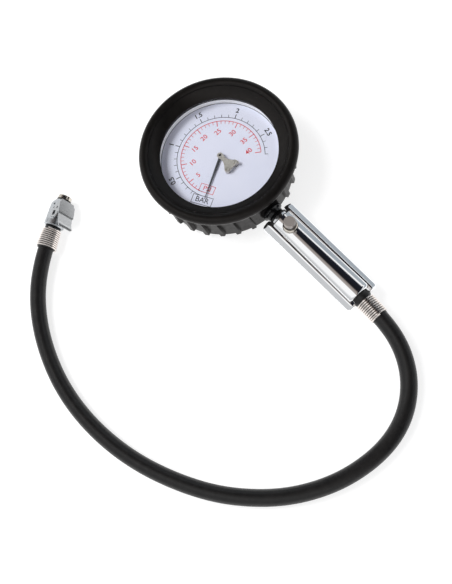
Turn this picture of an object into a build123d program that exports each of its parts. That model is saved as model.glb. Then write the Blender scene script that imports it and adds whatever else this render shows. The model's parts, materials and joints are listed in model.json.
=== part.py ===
from build123d import *
import os
from math import acos, cos, degrees, pi, radians, sin, sqrt, tan

# Tyre pressure gauge: a dial gauge in a rubber boot, a three-bar handle with a bleed button, and a
# hose that ends in a clip-on tyre chuck.  Millimetres.  The origin is the centre of the boot's flat
# back, +Z is the dial's normal, and the handle leaves the gauge along -Y.

os.makedirs("parts", exist_ok=True)

# ---- driving dimensions: gauge head ----
lip_radius = 50.0  # outside of the boot's lip bead
bead_radius = 3.4
bead_centre_z = 32.6
boot_wall_radius = 44.2
boot_back = 3.0
lip_opening_radius = 37.35
lip_underside_z = 29.1
rib_count = 28
rib_height = 2.1
case_radius = 41.15
case_wall = 1.0
dial_radius = 40.0
dial_back_z = 21.0
dial_top_z = 22.0
window_radius = 38.6  # inside of the spacer ring and of the gasket
lens_z = 26.2
bezel_z = 28.2
axis_z = 12.3  # height of the stem, the handle and the hose where they leave the head

# ---- driving dimensions: movement ----
rear_plate_z = 8.0
front_plate_z = 16.8
plate_thickness = 1.2
gear_module = 0.4
pinion_teeth = 14
sector_teeth = 84  # teeth that the sector would have as a whole gear
backlash = 0.1  # taken off each tooth's thickness
arbor_radius = 0.8
running_gap = 0.05
gear_distance = gear_module * (pinion_teeth + sector_teeth) / 2 + 0.05
sector_angle = -45.0  # where the sector's arbor stands, seen from the dial's centre
sector_pivot = Vector(gear_distance, 0, 0).rotate(Axis.Z, sector_angle)
tail_length = 6.0
tail_pin = Vector(gear_distance + tail_length, 0, 0).rotate(Axis.Z, sector_angle)
tip_pin = Vector(26.5, -6.3, 0)
link_pin_radius = 0.6
tube_radius = 31.5
tube_width = 7.4
tube_depth = 2.6
tube_z = 13.0
zero_angle = 209.0  # the pointer at rest, from +X towards +Y
pointer_length = 30.0
bridge_z = 24.3
bridge_thickness = 0.8
bridge_screw = (3.3, -10.6)

# ---- driving dimensions: handle ----
side_bar_top_y = -50.5
side_bar_end_y = -126.4
side_bar_inner_x = 3.4
side_bar_outer_x = 15.5  # where the two flanks of a side bar would meet, before rounding
side_bar_crest = (8.2, 4.2)
side_bar_inner_rise = 3.2
side_bar_taper = 0.5  # the handle narrows a little towards the hose
ridge_top_y = -55.0
ridge_end_y = -123.5
ridge_half_width = 7.5  # at the hose's end
ridge_height = 7.4
ridge_crown_radius = 13.0
ridge_taper = 0.74
stem_radius = 4.0
button_y = -64.0
collar_seat_z = 18.0
button_pocket_z = 9.0  # floor of the bore that the button's foot sinks into

# ---- driving dimensions: hose, wire clamps and chuck ----
hose_radius = 5.0
hose_bore = 2.5
wire_pitch = 1.35
wire_turns = 10
wire_height = 1.15  # how far the wire stands off the hose
chuck_heading = 30.0  # the way the chuck points, from +X towards +Y
chuck_roll = 57.0  # how far the lever's plate leans over, from level
chuck_length = 22.3
mouth_radius = 3.95
lever_thickness = 0.85

# The hose's route: straight out of the handle, down to the surface, and round to the chuck.
hose_route = [
    (0, ridge_end_y, axis_z),
    (0, -143, axis_z),
    (-4.5, -164, 8.8),
    (-16.5, -181.5, 5.4),
    (-35.5, -193.3, 5.05),
    (-59.5, -196.5, 5.05),
    (-89, -190.5, 5.05),
    (-118.5, -173.5, 5.05),
    (-146, -143, 5.05),
    (-167, -96, 5.05),
    (-171.5, -45, 5.05),
    (-158, 2, 5.1),
    (-132, 35.4, 7.5),
    (-107.6, 49.5, 7.5),
]


def save(builder, name):
    """Label a finished piece and write it."""
    builder.part.label = name
    export_step(builder.part, f"parts/{name}.step")


def disc(radius, low, high, hole=0.0, centre=(0, 0)):
    """A flat disc or ring between two heights."""
    with BuildSketch(Plane.XY.offset(low)) as ring:
        with Locations(centre):
            Circle(radius)
            if hole:
                Circle(hole, mode=Mode.SUBTRACT)
    extrude(ring.sketch, amount=high - low)


def cross_hole(radius, from_y, to_y, height=axis_z):
    """A round hole along Y through the part being built."""
    with BuildSketch(Plane((0, from_y, height), x_dir=(1, 0, 0), z_dir=(0, -1, 0))) as hole:
        Circle(radius)
    extrude(hole.sketch, amount=from_y - to_y, mode=Mode.SUBTRACT)


# ======================= gauge head: shells =======================

bead = (lip_radius - bead_radius, bead_centre_z)
crease = (44.0, 34.8)

rib_length = 21.5
rib_root = 43.0  # the ribs start inside the boot's wall
rib_step = 360 / rib_count
with BuildPart() as boot_rib:
    with BuildSketch(Plane((rib_root, 0, 14.0), x_dir=(0, 1, 0), z_dir=(1, 0, 0))):
        RectangleRounded(4.6, rib_length, 1.2, rotation=9)
    extrude(amount=boot_wall_radius + rib_height - rib_root, taper=14)

with BuildPart() as rubber_boot:
    with BuildSketch(Plane.XZ):
        with BuildLine():
            Polyline((0, boot_back), (0, 0), (boot_wall_radius - 2.5, 0))
            ThreePointArc(
                (boot_wall_radius - 2.5, 0),
                (boot_wall_radius - 0.73, 0.73),
                (boot_wall_radius, 2.5),
            )
            Line((boot_wall_radius, 2.5), (boot_wall_radius, 26.0))
            ThreePointArc(
                (boot_wall_radius, 26.0), (44.9, 28.0), (bead[0], bead[1] - bead_radius)
            )
            ThreePointArc(
                (bead[0], bead[1] - bead_radius), (lip_radius, bead_centre_z), crease
            )
            Line(crease, (43.7, 34.1))
            ThreePointArc((43.7, 34.1), (40.6, 31.7), (lip_opening_radius, 30.1))
            Polyline(
                (lip_opening_radius, 30.1),
                (lip_opening_radius, lip_underside_z),
                (case_radius + 1.0, lip_underside_z),
                (case_radius + 1.0, 23.0),
                (case_radius + 0.1, 23.0),
                (case_radius + 0.1, boot_back),
                (0, boot_back),
            )
        make_face()
    revolve(axis=Axis.Z)
    # ribs all round, but for the two places beside the neck
    with PolarLocations(0, rib_count - 2, -90 + 1.5 * rib_step, rib_step * (rib_count - 3), endpoint=True):
        add(boot_rib.part)
    with BuildSketch(Plane((0, -38, axis_z), x_dir=(1, 0, 0), z_dir=(0, -1, 0))):
        Circle(7.6)
    extrude(amount=boot_wall_radius + 1.6 - 38, taper=4)
    with BuildSketch(Plane.XY.offset(boot_back)):
        Circle(case_radius + 0.1)
    extrude(amount=20.0, mode=Mode.SUBTRACT)
    cross_hole(stem_radius + 0.2, -36, -48)
save(rubber_boot, "rubber_boot")

with BuildPart() as gauge_case:
    disc(case_radius, boot_back + 0.1, bezel_z - 0.1)
    with BuildSketch(Plane.XY.offset(boot_back + 0.1 + case_wall)):
        Circle(case_radius - case_wall)
    extrude(amount=bezel_z, mode=Mode.SUBTRACT)
    cross_hole(stem_radius + 0.2, -36, -48)
save(gauge_case, "gauge_case")

with BuildPart() as bezel_ring:
    disc(case_radius + 0.95, bezel_z, lip_underside_z - 0.1, hole=lip_opening_radius + 0.3)
    disc(case_radius + 0.95, 23.1, bezel_z, hole=case_radius + 0.05)
save(bezel_ring, "bezel_ring")

with BuildPart() as lens:
    disc(dial_radius, lens_z, bezel_z - 0.02)
    chamfer(lens.edges().group_by(Axis.Z)[-1], 0.3)
save(lens, "lens")

with BuildPart() as lens_gasket:
    disc(dial_radius, lens_z - 0.5, lens_z, hole=window_radius)
save(lens_gasket, "lens_gasket")

with BuildPart() as spacer_ring:
    disc(dial_radius, dial_top_z, lens_z - 0.5, hole=window_radius)
    chamfer(spacer_ring.edges().group_by(Axis.Z)[-1].sort_by(SortBy.RADIUS)[0], 0.4)
save(spacer_ring, "spacer_ring")

with BuildPart() as dial_plate:
    disc(dial_radius, dial_back_z, dial_top_z, hole=1.6)
    with Locations((bridge_screw[0], bridge_screw[1]), (-bridge_screw[0], bridge_screw[1])):
        Hole(1.6)
save(dial_plate, "dial_plate")

# ======================= pressure path inside the head =======================

block_top_y = -22.0
block_bottom_y = -38.0
block_half_width = 8.0
block_low_z = rear_plate_z + plate_thickness

with BuildPart() as pressure_socket:
    with BuildSketch(Plane.XY.offset(block_low_z)):
        with Locations((0, (block_top_y + block_bottom_y) / 2)):
            RectangleRounded(2 * block_half_width, block_top_y - block_bottom_y, 1.5)
    extrude(amount=front_plate_z - block_low_z)
    with BuildSketch(Plane((0, block_bottom_y + 1, axis_z), x_dir=(1, 0, 0), z_dir=(0, -1, 0))):
        Circle(stem_radius)
    extrude(amount=22.5)
    with BuildSketch(Plane.XY.offset(axis_z)):  # groove for the neck seal
        with Locations((3.7, -58.0)):
            Rectangle(1.0, 1.2)
    revolve(axis=Axis((0, 0, axis_z), (0, 1, 0)), mode=Mode.SUBTRACT)
    cross_hole(1.4, -31.0, -60.0)
    with BuildSketch(Plane((0, -31.5, tube_z), x_dir=(0, 1, 0), z_dir=(-1, 0, 0))):
        Circle(1.1)
    extrude(amount=block_half_width + 1, mode=Mode.SUBTRACT)
    with BuildSketch(Plane.XY.offset(front_plate_z)):
        with Locations((6, -27), (-6, -27)):
            Circle(0.8)
    extrude(amount=block_low_z - front_plate_z, mode=Mode.SUBTRACT)
save(pressure_socket, "pressure_socket")

tube_start = -104.0  # where the tube leaves the socket block
tube_sweep = 264.0
tube_end = tube_start - tube_sweep

with BuildPart() as bourdon_tube:
    start_plane = Plane(
        Vector(tube_radius, 0, tube_z).rotate(Axis.Z, tube_start),
        x_dir=Vector(1, 0, 0).rotate(Axis.Z, tube_start),
        z_dir=Vector(0, -1, 0).rotate(Axis.Z, tube_start),
    )
    with BuildSketch(start_plane):
        RectangleRounded(tube_depth, tube_width, 1.2)
        RectangleRounded(tube_depth - 0.8, tube_width - 0.8, 0.8, mode=Mode.SUBTRACT)
    revolve(axis=Axis.Z, revolution_arc=-tube_sweep)
save(bourdon_tube, "bourdon_tube")

with BuildPart() as tube_tip:
    tip_heading = tube_end - 5.6
    tip_plane = Plane(
        Vector(tube_radius, 0, 0).rotate(Axis.Z, tip_heading),
        x_dir=Vector(1, 0, 0).rotate(Axis.Z, tip_heading),
        z_dir=(0, 0, 1),
    )
    with BuildSketch(tip_plane.offset(tube_z - tube_width / 2)):
        RectangleRounded(tube_depth + 0.8, 5.6, 0.8)
    extrude(amount=tube_width)
    inner = Vector(tube_radius, 0, 0).rotate(Axis.Z, tip_heading)
    with BuildSketch(Plane.XY.offset(11.9)):
        reach = (inner - Vector(tip_pin.X, tip_pin.Y, 0)).length
        middle = (inner + Vector(tip_pin.X, tip_pin.Y, 0)) * 0.5
        turn = degrees(acos((inner.X - tip_pin.X) / reach)) * (1 if inner.Y > tip_pin.Y else -1)
        with Locations((middle.X, middle.Y)):
            SlotCenterToCenter(reach, 2.8, rotation=turn)
    extrude(amount=1.4)
    disc(link_pin_radius, 13.3, 15.4, centre=(tip_pin.X, tip_pin.Y))
save(tube_tip, "tube_tip")

# ======================= movement =======================


def plate_outline():
    """The outline that both movement plates share, as the hull of five rounded corners."""
    with BuildSketch(mode=Mode.PRIVATE) as corners:
        with Locations((-9, 5), (9, 5), (-8, -27.5), (8, -27.5)):
            Circle(3.2)
        with Locations((sector_pivot.X + 1.5, sector_pivot.Y)):
            Circle(3.6)
    return make_hull(corners.sketch.edges(), mode=Mode.PRIVATE)


arbors = [(0, 0), (sector_pivot.X, sector_pivot.Y)]
pillar_places = [(-9, 5), (9, 5)]
socket_screw_places = [(-6, -27), (6, -27)]

for name, low in (("movement_rear_plate", rear_plate_z), ("movement_front_plate", front_plate_z)):
    with BuildPart() as plate:
        with BuildSketch(Plane.XY.offset(low)):
            add(plate_outline())
            with Locations(*arbors):
                Circle(arbor_radius + running_gap, mode=Mode.SUBTRACT)
            with Locations(*pillar_places, *socket_screw_places):
                Circle(0.85, mode=Mode.SUBTRACT)
        extrude(amount=plate_thickness)
        if low == front_plate_z:
            with BuildSketch(Plane.XY.offset(low)):
                with Locations((bridge_screw[0], bridge_screw[1]), (-bridge_screw[0], bridge_screw[1])):
                    Circle(0.85)
            extrude(amount=plate_thickness, mode=Mode.SUBTRACT)
    save(plate, name)

with BuildPart() as movement_pillars:
    for place in pillar_places:
        disc(1.6, rear_plate_z + plate_thickness, front_plate_z, hole=0.85, centre=place)
save(movement_pillars, "movement_pillars")


def screw(x, y, head_low, length, head_radius=1.5, head_height=0.9, shank=0.75, down=True):
    """A slotted pan-head screw whose shank points down from under its head, or up."""
    way = -1 if down else 1
    with BuildSketch(Plane.XY.offset(head_low)) as head:
        with Locations((x, y)):
            Circle(head_radius)
    extrude(head.sketch, amount=-way * head_height)
    with BuildSketch(Plane.XY.offset(head_low - way * head_height)) as slot:
        with Locations((x, y)):
            Rectangle(2 * head_radius + 1, 0.4, rotation=30)
    extrude(slot.sketch, amount=way * 0.4, mode=Mode.SUBTRACT)
    with BuildSketch(Plane.XY.offset(head_low)) as core:
        with Locations((x, y)):
            Circle(shank)
    extrude(core.sketch, amount=way * length)


front_face = front_plate_z + plate_thickness
with BuildPart() as movement_screws:
    for x, y in pillar_places + socket_screw_places:
        screw(x, y, front_face, 4.0)
        screw(x, y, rear_plate_z, 4.0, down=False)
save(movement_screws, "movement_screws")


def gear_outline(teeth, first, last, root_radius, tip_radius, phase):
    """Points round involute teeth number first to last, each centred on phase + number x pitch."""
    pitch_radius = gear_module * teeth / 2
    base_radius = pitch_radius * cos(radians(20))
    half_tooth = (pi * gear_module / 2 - backlash) / 2 / pitch_radius

    def involute(r):
        return tan(acos(base_radius / r)) - acos(base_radius / r)

    low = max(root_radius, base_radius + 0.001)
    radii = [low + (tip_radius - low) * step / 3 for step in range(4)]
    points = []
    for number in range(first, last + 1):
        middle = radians(phase) + 2 * pi * number / teeth
        flank = [(r, half_tooth + involute(pitch_radius) - involute(r)) for r in radii]
        flank = [(root_radius, flank[0][1])] + flank if low > root_radius + 0.01 else flank
        for r, away in flank:
            points.append((r * cos(middle - away), r * sin(middle - away)))
        for r, away in reversed(flank):
            points.append((r * cos(middle + away), r * sin(middle + away)))
    return points


pinion_pitch = gear_module * pinion_teeth / 2
sector_pitch = gear_module * sector_teeth / 2
pinion_low, pinion_high = 11.3, 14.2

with BuildPart() as pinion:
    with BuildSketch(Plane.XY.offset(pinion_low)):
        with BuildLine():
            Polyline(
                gear_outline(
                    pinion_teeth, 0, pinion_teeth - 1, pinion_pitch - 0.55, pinion_pitch + 0.36,
                    sector_angle + 180 / pinion_teeth,
                ),
                close=True,
            )
        make_face()
    extrude(amount=pinion_high - pinion_low)
    disc(arbor_radius, rear_plate_z + 0.2, bridge_z + bridge_thickness)
    disc(1.4, rear_plate_z + plate_thickness + 0.2, pinion_low)
save(pinion, "pinion")

teeth_before = 2  # teeth of the sector past the mesh at rest
teeth_after = 12  # teeth that come into mesh as the pressure rises
with BuildPart() as sector_gear:
    with BuildSketch(Plane((sector_pivot.X, sector_pivot.Y, 12.0))):
        with BuildLine():
            facing = sector_angle + 180
            rim = gear_outline(
                sector_teeth, -teeth_after, teeth_before, sector_pitch - 0.55, sector_pitch + 0.34, facing
            )
            Polyline(rim + [(0.0, 0.0)], close=True)
        make_face()
        with BuildLine():
            window_from = facing - 360 / sector_teeth * teeth_after + 6
            window_to = facing + 360 / sector_teeth * teeth_before - 6
            window = [
                (r * cos(radians(a)), r * sin(radians(a)))
                for r, a in (
                    (6.0, window_from + 4), (13.6, window_from), (13.9, (window_from + window_to) / 2),
                    (13.6, window_to), (6.0, window_to - 4),
                )
            ]
            Line(window[0], window[1])
            ThreePointArc(window[1], window[2], window[3])
            Line(window[3], window[4])
            Line(window[4], window[0])
        make_face(mode=Mode.SUBTRACT)
        Circle(3.0)
        with Locations(Vector(tail_length / 2, 0, 0).rotate(Axis.Z, sector_angle)):
            SlotCenterToCenter(tail_length, 2.6, rotation=sector_angle)
    extrude(amount=1.4)
    disc(arbor_radius, rear_plate_z + 0.2, front_face - 0.2, centre=arbors[1])
    disc(1.5, rear_plate_z + plate_thickness + 0.2, front_plate_z - 0.2, centre=arbors[1])
    disc(link_pin_radius, 13.4, 15.3, centre=(tail_pin.X, tail_pin.Y))
save(sector_gear, "sector_gear")

link_reach = Vector(tip_pin.X - tail_pin.X, tip_pin.Y - tail_pin.Y, 0)
link_heading = degrees(acos(link_reach.X / link_reach.length))
with BuildPart() as link:
    with BuildSketch(Plane.XY.offset(13.8)):
        with Locations((tail_pin + link_reach * 0.5)):
            SlotCenterToCenter(link_reach.length, 2.2, rotation=link_heading)
        with Locations((tip_pin.X, tip_pin.Y)):
            Circle(2.0)
            Circle(1.15, mode=Mode.SUBTRACT)
        with Locations((tail_pin.X, tail_pin.Y)):
            Circle(1.4)
            Circle(link_pin_radius + running_gap, mode=Mode.SUBTRACT)
    extrude(amount=0.8)
save(link, "link")

with BuildPart() as hairspring:
    with BuildSketch(Plane.XY.offset(15.0)):
        with BuildLine() as coil:
            turns = 4.0
            Spline(
                *[
                    (
                        (1.3 + 1.35 * step / 12) * cos(2 * pi * step / 12),
                        (1.3 + 1.35 * step / 12) * sin(2 * pi * step / 12),
                    )
                    for step in range(int(12 * turns) + 1)
                ]
            )
        trace(coil.line, 0.2)
        Circle(1.4)
        Circle(arbor_radius + running_gap, mode=Mode.SUBTRACT)
    extrude(amount=0.9)
save(hairspring, "hairspring")

# ======================= pointer and its front bridge =======================

with BuildPart() as pointer:
    to_zero = Vector(1, 0, 0).rotate(Axis.Z, zero_angle)
    with BuildSketch(Plane((0, 0, 22.9), x_dir=to_zero, z_dir=(0, 0, 1))):
        with BuildLine():
            Polyline(
                (-1.7, -0.8), (6, -0.75), (pointer_length, -0.14),
                (pointer_length, 0.14), (6, 0.75), (-1.7, 0.8),
                close=True,
            )
        make_face()
    extrude(amount=0.35)
    disc(1.8, 22.6, 24.0)
    with BuildSketch(Plane.XY.offset(22.0)):
        Circle(arbor_radius)
    extrude(amount=3.0, mode=Mode.SUBTRACT)
save(pointer, "pointer")

with BuildPart() as pointer_bridge:
    with BuildSketch(Plane.XY.offset(bridge_z)):
        with BuildLine():
            x, y = bridge_screw
            Spline((-1.9, 0), (-1.4, -3.2), (-2.4, -6.6), (-x - 1.8, y + 0.4), tangents=((0, -1), (-0.7, -1)))
            Spline(
                (-x - 1.8, y + 0.4), (-x - 0.3, y - 1.8), (0, y - 1.5), (x + 0.3, y - 1.8), (x + 1.8, y + 0.4),
                tangents=((-0.1, -1), (-0.1, 1)),
            )
            Spline((x + 1.8, y + 0.4), (2.4, -6.6), (1.4, -3.2), (1.9, 0), tangents=((-0.7, 1), (0, 1)))
            ThreePointArc((1.9, 0), (0, 1.9), (-1.9, 0))
        make_face()
        Circle(arbor_radius + running_gap, mode=Mode.SUBTRACT)
        with Locations((x, y), (-x, y)):
            Circle(0.85, mode=Mode.SUBTRACT)
    extrude(amount=bridge_thickness)
    chamfer(pointer_bridge.edges().group_by(Axis.Z)[-1].filter_by(GeomType.BSPLINE), 0.15)
save(pointer_bridge, "pointer_bridge")

with BuildPart() as bridge_posts:
    for x in (bridge_screw[0], -bridge_screw[0]):
        disc(1.5, front_face, bridge_z, hole=0.85, centre=(x, bridge_screw[1]))
save(bridge_posts, "bridge_posts")

with BuildPart() as bridge_screws:
    for x in (bridge_screw[0], -bridge_screw[0]):
        screw(x, bridge_screw[1], bridge_z + bridge_thickness, 8.0, head_height=0.8)
save(bridge_screws, "bridge_screws")

# ======================= neck and handle =======================


def turned(points, axis, plane):
    """Revolve a closed outline, drawn on a plane that holds the axis."""
    with BuildSketch(plane) as profile:
        with BuildLine():
            Polyline(points, close=True)
        make_face()
    revolve(profile.sketch, axis=axis)


neck_axis = Axis((0, 0, axis_z), (0, 1, 0))
neck_plane = Plane.XY.offset(axis_z)
neck_top_y = -46.0
neck_end_y = -53.5

with BuildPart() as neck_collar:
    turned(
        [
            (stem_radius + 0.05, neck_top_y), (6.6, neck_top_y), (6.9, -46.6), (6.9, -47.6), (5.5, -48.6),
            (5.2, -50.4), (5.6, -51.6), (6.4, -52.2), (6.4, neck_end_y), (stem_radius + 0.05, neck_end_y),
        ],
        neck_axis,
        neck_plane,
    )
save(neck_collar, "neck_collar")

with BuildPart() as neck_seal:
    turned([(3.25, -58.5), (4.05, -58.5), (4.05, -57.5), (3.25, -57.5)], neck_axis, neck_plane)
save(neck_seal, "neck_seal")


def side_bar(hand):
    """A side bar of the handle: its flanks rise from the outer edge to a crest beside the ridge."""
    crest_x, crest_rise = side_bar_crest
    with BuildSketch(Plane((0, side_bar_top_y, axis_z), x_dir=(1, 0, 0), z_dir=(0, -1, 0))) as section:
        with BuildLine():
            Polyline(
                (hand * side_bar_outer_x, 0),
                (hand * crest_x, crest_rise),
                (hand * side_bar_inner_x, side_bar_inner_rise),
                (hand * side_bar_inner_x, -side_bar_inner_rise),
                (hand * crest_x, -crest_rise),
                close=True,
            )
        make_face()
        fillet(section.vertices().filter_by(lambda v: abs(v.X) > crest_x - 1), 3.0)
        fillet(section.vertices().filter_by(lambda v: abs(v.X) < side_bar_inner_x + 1), 2.9)
    with BuildPart(mode=Mode.PRIVATE) as bar:
        extrude(section.sketch, amount=side_bar_top_y - side_bar_end_y, taper=side_bar_taper)
        fillet(bar.faces().sort_by(Axis.Y)[0].edges(), 2.5)
        fillet(bar.faces().sort_by(Axis.Y)[-1].edges(), 2.5)
    add(bar.part)


def ridge():
    """The middle bar of the handle: crowned above and below, and a little slimmer towards the gauge."""
    drop = ridge_crown_radius - sqrt(ridge_crown_radius**2 - ridge_half_width**2)
    shoulder = ridge_height - drop
    with BuildSketch(Plane((0, ridge_end_y, axis_z), x_dir=(-1, 0, 0), z_dir=(0, 1, 0))) as section:
        with BuildLine():
            ThreePointArc((-ridge_half_width, shoulder), (0, ridge_height), (ridge_half_width, shoulder))
            Line((ridge_half_width, shoulder), (ridge_half_width, -shoulder))
            ThreePointArc((ridge_half_width, -shoulder), (0, -ridge_height), (-ridge_half_width, -shoulder))
            Line((-ridge_half_width, -shoulder), (-ridge_half_width, shoulder))
        make_face()
        fillet(section.vertices(), 2.6)
    with BuildPart(mode=Mode.PRIVATE) as bar:
        extrude(section.sketch, amount=ridge_top_y - ridge_end_y, taper=ridge_taper)
        fillet(bar.faces().sort_by(Axis.Y)[0].edges(), 2.0)
        fillet(bar.faces().sort_by(Axis.Y)[-1].edges(), 0.8)
    add(bar.part)


with BuildPart() as handle_body:
    side_bar(1)
    side_bar(-1)
    ridge()
    with BuildSketch(Plane((0, neck_end_y, axis_z), x_dir=(1, 0, 0), z_dir=(0, -1, 0))):
        Circle(6.2)
    extrude(amount=6.0)
    cross_hole(stem_radius + 0.1, neck_end_y + 0.1, -60.0)
    cross_hole(7.0, side_bar_top_y + 1, neck_end_y)  # room for the neck collar between the side bars
    cross_hole(1.8, -60.0, -114.0)
    cross_hole(3.05, -113.0, ridge_end_y - 1)
    cross_hole(hose_radius + 0.3, ridge_end_y, side_bar_end_y - 1)
    with BuildSketch(Plane((0, button_y, collar_seat_z))):
        Circle(4.8)
    extrude(amount=4, mode=Mode.SUBTRACT)
    with BuildSketch(Plane((0, button_y, button_pocket_z))):
        Circle(3.05)
    extrude(amount=12, mode=Mode.SUBTRACT)
save(handle_body, "handle_body")

# ---- bleed valve: collar, button on its stem, seal and return spring ----

button_axis = Axis((0, button_y, 0), (0, 0, 1))
button_plane = Plane(origin=(0, button_y, 0), x_dir=(1, 0, 0), z_dir=(0, -1, 0))
collar_low_z = 13.4
collar_top_z = 21.0
cap_low_z = 23.3
cap_top_z = 26.2

with BuildPart() as bleed_collar:
    turned(
        [
            (1.5, collar_low_z), (3.0, collar_low_z), (3.0, collar_seat_z), (4.6, collar_seat_z),
            (4.6, 19.8), (4.1, 20.1), (4.4, 20.4), (4.1, collar_top_z), (3.3, collar_top_z),
            (3.3, 18.9), (1.5, 18.9),
        ],
        button_axis,
        button_plane,
    )
save(bleed_collar, "bleed_collar")

with BuildPart() as bleed_button:
    turned(
        [
            (0, 11.4), (2.3, 11.4), (2.3, 12.2), (1.2, 12.2), (1.2, cap_low_z), (3.4, cap_low_z),
            (3.75, cap_low_z + 0.4), (3.75, cap_top_z - 0.5), (3.3, cap_top_z), (0, cap_top_z),
        ],
        button_axis,
        button_plane,
    )
save(bleed_button, "bleed_button")

with BuildPart() as bleed_seal:
    turned([(1.25, 12.25), (2.3, 12.25), (2.3, 13.3), (1.25, 13.3)], button_axis, button_plane)
save(bleed_seal, "bleed_seal")

spring_wire = 0.45
with BuildPart() as bleed_spring:
    with BuildLine():
        spring_path = Helix(
            pitch=0.98, height=3.7, radius=2.55, center=(0, button_y, 19.2), direction=(0, 0, 1)
        )
    with BuildSketch(Plane(spring_path @ 0, z_dir=spring_path % 0)):
        Circle(spring_wire / 2)
    sweep(path=spring_path, is_frenet=True)
save(bleed_spring, "bleed_spring")

# ======================= hose =======================


def corner_radii(points):
    """The arc at each corner: 0.45 of the shorter run over the tangent of half the turn."""
    radii = []
    for before, here, after in zip(points, points[1:], points[2:]):
        run_in = Vector(*here) - Vector(*before)
        run_out = Vector(*after) - Vector(*here)
        half_turn = radians(run_in.get_angle(run_out)) / 2
        radii.append(0.45 * min(run_in.length, run_out.length) / tan(half_turn))
    return radii


hose_radii = corner_radii(hose_route)
with BuildPart() as hose:
    with BuildLine():
        hose_path = FilletPolyline(*hose_route, radius=hose_radii)
    with BuildSketch(Plane(hose_path @ 0, z_dir=hose_path % 0)):
        Circle(hose_radius)
        Circle(hose_bore, mode=Mode.SUBTRACT)
    sweep(path=hose_path)
save(hose, "hose")
hose_section = pi * (hose_radius**2 - hose_bore**2)
print("hose radii", [round(r, 1) for r in hose_radii])
print("hose length", round(hose_path.length, 1))
print("hose volume over section x length", round(hose.part.volume / (hose_section * hose_path.length), 4))


def wire_clamp(axis_start, heading, flare=0.0):
    """A wound wire clamp on the hose: a sleeve whose outside is scalloped by the turns, and which
    opens out by the flare towards its start."""
    base = Plane(axis_start, x_dir=heading, z_dir=heading.cross(Vector(0, 0, 1)))
    inner = hose_radius + 0.03
    length = wire_pitch * wire_turns
    with BuildSketch(base) as profile:
        with BuildLine():
            Line((length, inner), (0, inner))
            Line((0, inner), (0, inner + 0.6 * wire_height + flare))
            for turn in range(wire_turns):
                start = turn * wire_pitch
                low = inner + 0.6 * wire_height + flare * (1 - turn / wire_turns)
                next_low = low - flare / wire_turns
                crest = (low + next_low) / 2 + 0.4 * wire_height
                ThreePointArc((start, low), (start + wire_pitch / 2, crest), (start + wire_pitch, next_low))
            Line((length, inner + 0.6 * wire_height), (length, inner))
        make_face()
    revolve(profile.sketch, axis=Axis(axis_start, heading))


clamp_start = Vector(0, side_bar_end_y - 0.8, axis_z)
with BuildPart() as handle_coil_clamp:
    wire_clamp(clamp_start, Vector(0, -1, 0))
save(handle_coil_clamp, "handle_coil_clamp")

with BuildPart() as handle_barb:
    turned(
        [
            (1.1, -114.2), (3.0, -114.2), (3.0, ridge_end_y), (2.5, ridge_end_y),
            (2.5, -127.5), (2.85, -127.5), (2.5, -131.0), (2.85, -131.0), (2.5, -134.5), (2.85, -134.5),
            (2.3, -138.5), (1.1, -138.5),
        ],
        neck_axis,
        neck_plane,
    )
save(handle_barb, "handle_barb")

# ======================= chuck =======================
# Its own frame: "along" points out of the mouth, "up" is the lever plate's normal.

chuck_base = Vector(*hose_route[-1])
along = Vector(1, 0, 0).rotate(Axis.Z, chuck_heading)
lean = Vector(0, -1, 0).rotate(Axis.Z, chuck_heading)
up = lean * sin(radians(chuck_roll)) + Vector(0, 0, 1) * cos(radians(chuck_roll))
side = along.cross(up)
chuck_axis = Axis(chuck_base, along)
chuck_side = Plane(chuck_base, x_dir=along, z_dir=side)  # x along the chuck, y towards the lever


def chuck_top(height):
    """A plane across the lever's normal: x along the chuck, y to its side."""
    return Plane(chuck_base + up * height, x_dir=along, z_dir=up)


pin_along = 11.8
pin_up = 4.9
pin_radius = 0.75
seat_start = 13.6
seat_radius = 4.3
mouth_start = 16.4
body_front = 18.6
cheek = 5.0  # half the width across the flats beside the lever's ears
lever_slope = tan(radians(20.7))  # the lever stands open, further off the body towards the hose
spring_along = 7.8
pocket_floor = 1.9


def lever_line(gap, place):
    """How high the lever's underside, lowered by the gap, stands off the chuck's axis."""
    return 4.7 - gap + (18.4 - place) * lever_slope


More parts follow.
